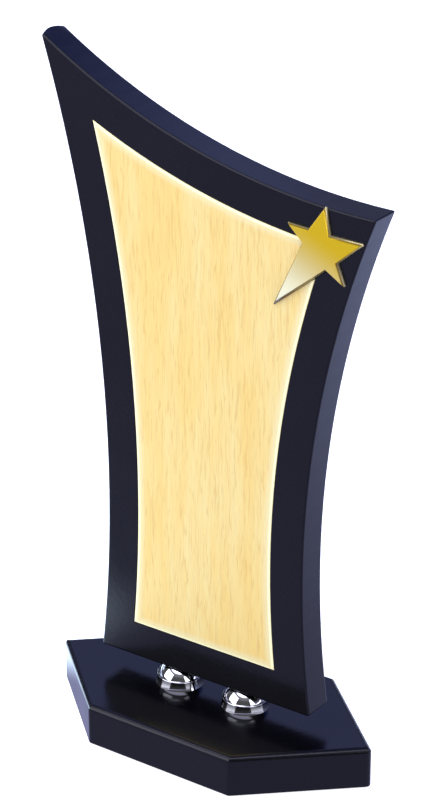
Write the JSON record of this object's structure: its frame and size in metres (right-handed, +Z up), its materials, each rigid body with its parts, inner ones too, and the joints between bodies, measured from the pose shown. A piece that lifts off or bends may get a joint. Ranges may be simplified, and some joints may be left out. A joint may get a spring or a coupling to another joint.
{
  "type": "star trophy",
  "caption": "Desk award: a sail-shaped lacquered upright panel with an inlaid wood-grain plate and a gold shooting star, held on chrome buttons above a hexagonal base.",
  "frame": {"origin": "middle of the base's underside, on the felt, halfway between the base's two side points", "axes": "+X to the viewer's right along the panel, +Y from the plate towards the panel's back, +Z up"},
  "size_m": [0.1675, 0.084, 0.3135],
  "materials": {
    "black_lacquer": "gloss black lacquer",
    "grain_plate": "satin, printed with a fine pale wood grain",
    "gold": "polished gold",
    "chrome": "mirror polished",
    "steel": "zinc plated",
    "insert_brass": "turned",
    "adhesive": "soft adhesive foam",
    "felt": "short black felt"
  },
  "bodies": {
    "root": {"base_felt": "felt", "base_board": "black_lacquer", "button_left": "chrome", "button_right": "chrome", "upright_panel": "black_lacquer", "plate_sheet": "adhesive", "face_plate": "grain_plate", "star_pad": "adhesive", "star_emblem": "gold", "screw_left": "steel", "screw_right": "steel", "washer_left": "steel", "washer_right": "steel", "insert_left": "insert_brass", "insert_right": "insert_brass"}
  },
  "joints": []
}
